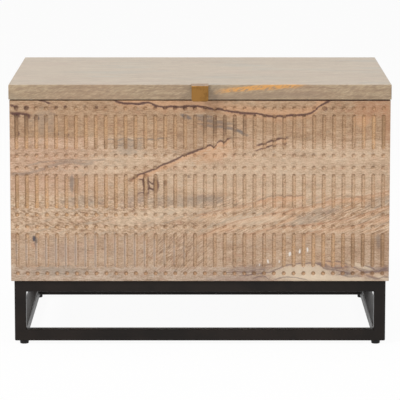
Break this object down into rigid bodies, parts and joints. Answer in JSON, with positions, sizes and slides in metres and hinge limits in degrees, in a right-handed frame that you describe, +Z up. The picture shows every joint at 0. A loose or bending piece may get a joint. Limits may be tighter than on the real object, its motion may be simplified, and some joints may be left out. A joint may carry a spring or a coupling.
{
  "type": "storage coffee table",
  "caption": "Trunk-style wooden coffee table with a bar-and-dot carved front, a hinged lid over one storage space, a brass lid pull and a black square-tube base.",
  "frame": {"origin": "on the floor, in the middle of the table's bounding box", "axes": "+X to the right along the carved front, +Y to the hinge side at the back, +Z up"},
  "size_m": [0.66, 0.4854, 0.457],
  "materials": {
    "mango_wood": "sealed, low sheen",
    "carved_wood": "sealed, low sheen, with spalted figure",
    "plywood": "plain, unsealed",
    "black_steel": "black powder coat, semi-gloss",
    "black_plastic": "moulded",
    "hinge_steel": "antique plated",
    "brass": "aged, brushed",
    "clear_rubber": "soft pad",
    "bracket_steel": "zinc plated",
    "stay_black": "black lacquer",
    "stay_chrome": "polished"
  },
  "bodies": {
    "case": {"front_panel": "carved_wood", "back_panel": "mango_wood", "left_side_panel": "mango_wood", "right_side_panel": "mango_wood", "bottom_panel": "plywood", "front_top_rail": "black_steel", "right_top_rail": "black_steel", "back_top_rail": "black_steel", "left_top_rail": "black_steel", "front_bottom_rail": "black_steel", "right_bottom_rail": "black_steel", "back_bottom_rail": "black_steel", "left_bottom_rail": "black_steel", "front_left_leg": "black_steel", "front_right_leg": "black_steel", "back_right_leg": "black_steel", "back_left_leg": "black_steel", "front_left_corner_plate": "black_steel", "front_right_corner_plate": "black_steel", "back_right_corner_plate": "black_steel", "back_left_corner_plate": "black_steel", "feet": "black_plastic", "hinge_case_leaves": "hinge_steel", "stay_wall_brackets": "bracket_steel"},
    "lid": {"lid_panel": "mango_wood", "lid_pull": "brass", "lid_bumpers": "clear_rubber", "hinge_lid_leaves": "hinge_steel", "stay_lid_brackets": "bracket_steel"},
    "left_barrel": {"left_stay_barrel": "stay_black"},
    "left_rod": {"left_stay_rod": "stay_chrome"},
    "right_barrel": {"right_stay_barrel": "stay_black"},
    "right_rod": {"right_stay_rod": "stay_chrome"}
  },
  "joints": [
    {"name": "lid_hinge", "type": "hinge", "parent": "case", "child": "lid", "pos_m": [0, 0.23965, 0.43], "axis": [-1, 0, 0], "range_deg": [0, 80]},
    {"name": "left_barrel_pivot", "type": "hinge", "parent": "case", "child": "left_barrel", "pos_m": [-0.3, 0.19615, 0.25534], "axis": [-1, 0, 0], "range_deg": [0, 40]},
    {"name": "left_rod_pivot", "type": "hinge", "parent": "lid", "child": "left_rod", "pos_m": [-0.3, 0.06012, 0.417], "axis": [-1, 0, 0], "range_deg": [-40, 0]},
    {"name": "right_barrel_pivot", "type": "hinge", "parent": "case", "child": "right_barrel", "pos_m": [0.3, 0.19615, 0.25534], "axis": [-1, 0, 0], "range_deg": [0, 40]},
    {"name": "right_rod_pivot", "type": "hinge", "parent": "lid", "child": "right_rod", "pos_m": [0.3, 0.06012, 0.417], "axis": [-1, 0, 0], "range_deg": [-40, 0]}
  ],
  "couplings": [
    {"joint": "left_barrel_pivot", "follows": "lid_hinge", "ratio": 0.5},
    {"joint": "left_rod_pivot", "follows": "lid_hinge", "ratio": -0.5},
    {"joint": "right_barrel_pivot", "follows": "lid_hinge", "ratio": 0.5},
    {"joint": "right_rod_pivot", "follows": "lid_hinge", "ratio": -0.5}
  ]
}
